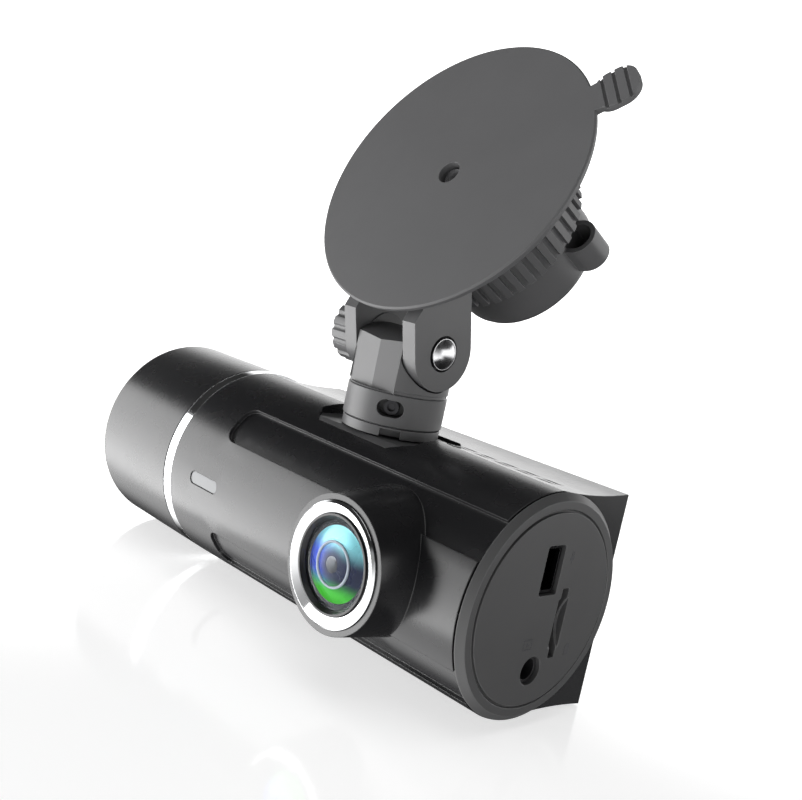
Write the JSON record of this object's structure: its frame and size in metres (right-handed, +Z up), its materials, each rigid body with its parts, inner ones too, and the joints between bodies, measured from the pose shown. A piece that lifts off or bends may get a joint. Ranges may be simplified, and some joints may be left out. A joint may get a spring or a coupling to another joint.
{
  "type": "dash camera",
  "caption": "Barrel-shaped dash camera with a front lens, rear screen and turning cabin camera, hung from a twist-lock suction mount with a tilting stem.",
  "frame": {"origin": "centre of the suction disc's face, which leans back 25 degrees like a windscreen", "axes": "+Z up, -Y towards the windscreen and the road ahead, +X along the camera barrel towards its port face"},
  "size_m": [0.1074, 0.0605, 0.1105],
  "materials": {
    "aluminium": "milled",
    "board_green": "solder mask",
    "brass": "turned",
    "bright_trim": "polished",
    "cap_satin": "satin",
    "case_gloss": "polished",
    "case_satin": "satin",
    "cell_wrap": "shrink sleeve",
    "chip_black": "moulded",
    "cup_rubber": "satin",
    "dark_window": "polished",
    "key_plastic": "satin",
    "lamp_window": "translucent",
    "lens_glass": "coated",
    "lens_metal": "black anodised",
    "mark_white": "printed",
    "mount_plastic": "fine grain",
    "nylon": "plain",
    "steel": "zinc plated"
  },
  "bodies": {
    "cup_mount": {"suction_disc": "cup_rubber", "cup_base": "mount_plastic", "hinge_screw": "steel", "hinge_washers": "nylon"},
    "lock_knob": {"lock_knob": "mount_plastic"},
    "pull_post": {"pull_post": "steel", "cross_pin": "steel"},
    "hinge_nut": {"hinge_nut": "mount_plastic", "nut_insert": "brass"},
    "stem": {"stem": "mount_plastic", "set_screw": "steel", "foot": "mount_plastic", "foot_screw": "steel"},
    "camera": {"front_shell": "case_gloss", "rear_shell": "case_satin", "port_cap": "cap_satin", "ring_trim": "bright_trim", "lens_bezel": "bright_trim", "lens_inner_ring": "dark_window", "lens_glass": "lens_glass", "lens_barrel": "lens_metal", "lens_optics": "lens_glass", "sensor_board": "board_green", "image_sensor": "chip_black", "indicator_window": "lamp_window", "main_board": "board_green", "board_chips": "chip_black", "heat_spreader": "aluminium", "board_screws": "steel", "power_socket": "steel", "card_socket": "steel", "video_jack": "chip_black", "backup_cells": "cell_wrap", "speaker": "chip_black", "microphone": "aluminium", "screen_window": "dark_window", "screen_module": "aluminium", "key_board": "board_green", "key_switches": "steel", "case_screws": "steel", "pivot_bush": "nylon", "link_cable": "nylon", "seat_plate": "mount_plastic", "lock_mark": "mark_white"},
    "cabin_barrel": {"cabin_shell": "case_gloss", "cabin_window": "dark_window", "cabin_lens": "lens_metal", "infrared_lamps": "lens_glass", "cabin_board": "board_green", "cabin_hub": "nylon", "hub_screws": "steel", "pivot_clip": "steel"},
    "key_power": {"key_power": "key_plastic"},
    "key_up": {"key_up": "key_plastic"},
    "key_menu": {"key_menu": "key_plastic"},
    "key_down": {"key_down": "key_plastic"},
    "key_confirm": {"key_confirm": "key_plastic"}
  },
  "joints": [
    {"name": "lock_turn", "type": "hinge", "parent": "cup_mount", "child": "lock_knob", "pos_m": [0, 0, 0], "axis": [0, 0.9063, -0.4226], "range_deg": [0, 60]},
    {"name": "post_pull", "type": "slide", "parent": "cup_mount", "child": "pull_post", "axis": [0, 0.9063, -0.4226], "range_m": [0, 0.0018]},
    {"name": "nut_turn", "type": "hinge", "parent": "cup_mount", "child": "hinge_nut", "pos_m": [0, -0.00143, -0.03122], "axis": [1, 0, 0], "continuous": true},
    {"name": "mount_tilt", "type": "hinge", "parent": "cup_mount", "child": "stem", "pos_m": [0, -0.00143, -0.03122], "axis": [1, 0, 0], "range_deg": [-28, 40]},
    {"name": "mount_twist", "type": "hinge", "parent": "stem", "child": "camera", "pos_m": [0, -0.00143, -0.06522], "axis": [0, 0, 1], "range_deg": [0, 60]},
    {"name": "cabin_turn", "type": "hinge", "parent": "camera", "child": "cabin_barrel", "pos_m": [0, -0.00143, -0.06522], "axis": [1, 0, 0], "range_deg": [-70, 70]},
    {"name": "key_power_press", "type": "slide", "parent": "camera", "child": "key_power", "axis": [0, -1, 0], "range_m": [0, 0.0004], "stiffness_N_per_m": 900, "springref_m": -0.0004},
    {"name": "key_up_press", "type": "slide", "parent": "camera", "child": "key_up", "axis": [0, -1, 0], "range_m": [0, 0.0004], "stiffness_N_per_m": 900, "springref_m": -0.0004},
    {"name": "key_menu_press", "type": "slide", "parent": "camera", "child": "key_menu", "axis": [0, -1, 0], "range_m": [0, 0.0004], "stiffness_N_per_m": 900, "springref_m": -0.0004},
    {"name": "key_down_press", "type": "slide", "parent": "camera", "child": "key_down", "axis": [0, -1, 0], "range_m": [0, 0.0004], "stiffness_N_per_m": 900, "springref_m": -0.0004},
    {"name": "key_confirm_press", "type": "slide", "parent": "camera", "child": "key_confirm", "axis": [0, -1, 0], "range_m": [0, 0.0004], "stiffness_N_per_m": 900, "springref_m": -0.0004}
  ],
  "couplings": [
    {"joint": "post_pull", "follows": "lock_turn", "m_per_rad": 0.0017189}
  ]
}
